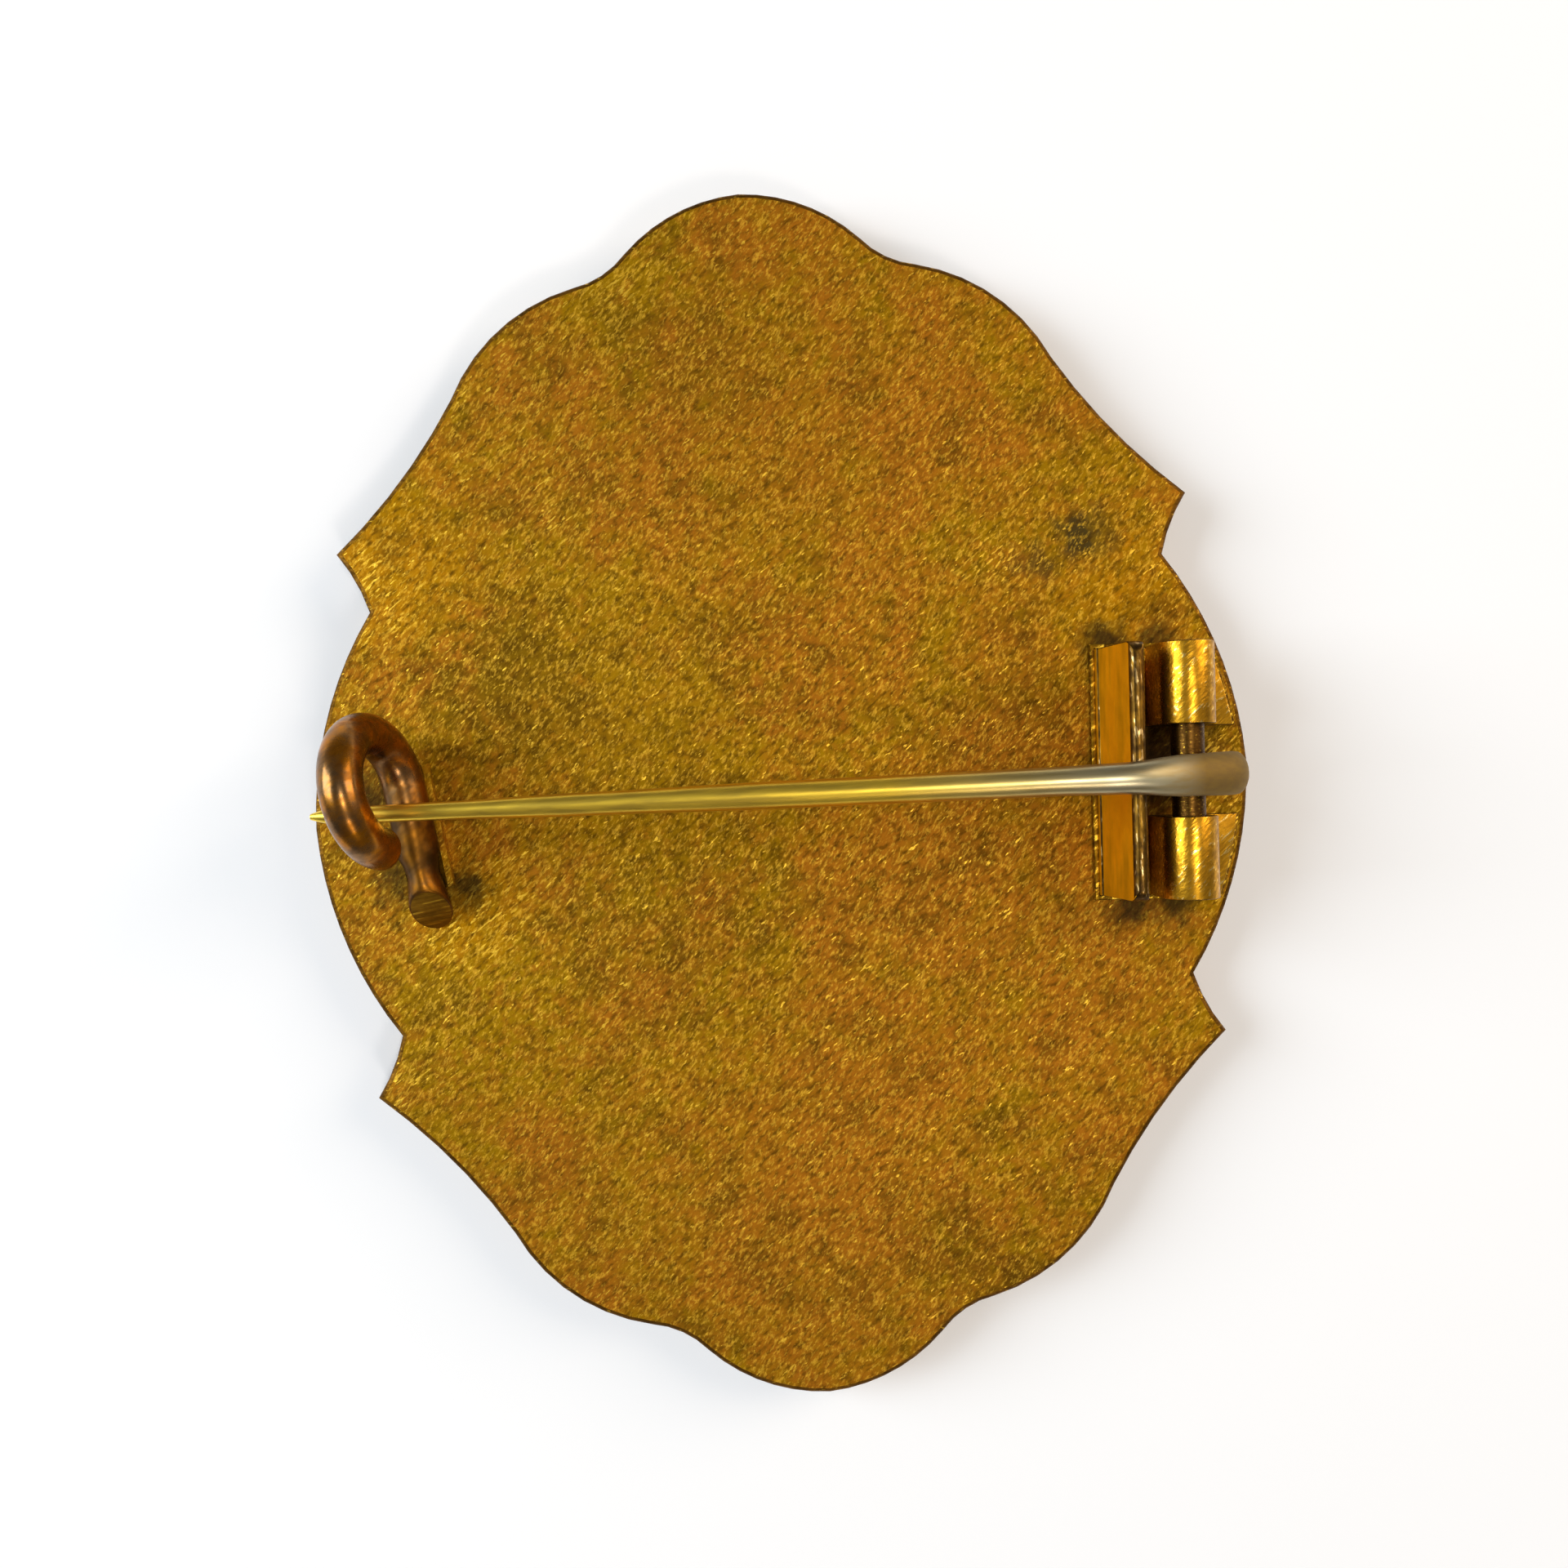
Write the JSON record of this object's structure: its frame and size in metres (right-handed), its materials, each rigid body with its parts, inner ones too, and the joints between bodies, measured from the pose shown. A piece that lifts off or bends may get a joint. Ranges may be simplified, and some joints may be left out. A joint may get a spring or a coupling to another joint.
{
  "type": "cap badge",
  "caption": "Cartouche-shaped enamelled metal cap badge with a hinged brooch pin, stop-wall hinge and round-wire catch on its flat back.",
  "frame": {"origin": "middle of the badge's outline, in the plane of the raised front rims that it rests on", "axes": "+Z out of the back, through the pin and its fittings; +Y to the top of the badge; +X to the hinge, which is on the right when the back is seen with the top up"},
  "size_m": [0.0296, 0.0382, 0.0065],
  "materials": {
    "gilding_metal": "matte, finely scratched and mottled with tarnish",
    "hinge_brass": "satin with file marks",
    "catch_bronze": "dark, smooth and glossy",
    "pin_wire": "pale drawn wire, satin",
    "solder": "dull gilt solder",
    "cream_enamel": "opaque fired enamel, polished",
    "green_enamel": "opaque fired enamel, polished",
    "red_enamel": "opaque fired enamel, polished",
    "blue_enamel": "opaque fired enamel, polished"
  },
  "bodies": {
    "badge": {"badge_plate": "gilding_metal", "enamel_centre": "cream_enamel", "enamel_band_1": "green_enamel", "enamel_band_2": "green_enamel", "enamel_band_3": "green_enamel", "enamel_band_4": "green_enamel", "enamel_panel_1": "blue_enamel", "enamel_panel_2": "red_enamel", "enamel_panel_3": "blue_enamel", "enamel_panel_4": "red_enamel", "enamel_panel_5": "blue_enamel", "enamel_panel_6": "red_enamel", "enamel_panel_7": "blue_enamel", "enamel_panel_8": "red_enamel", "hinge_block": "hinge_brass", "hinge_solder": "solder", "catch_wire": "catch_bronze", "catch_solder": "solder"},
    "rivet": {"hinge_rivet": "hinge_brass"},
    "pin": {"pin": "pin_wire"}
  },
  "joints": [
    {"name": "pin_lift", "type": "hinge", "parent": "badge", "child": "rivet", "pos_m": [0.0123, -0.0002, 0.0037], "axis": [0.0523, 0.9986, 0], "range_deg": [0, 140]},
    {"name": "pin_release", "type": "hinge", "parent": "rivet", "child": "pin", "pos_m": [0.01229, -0.00035, 0.0037], "axis": [0, 0, 1], "range_deg": [0, 5]}
  ]
}
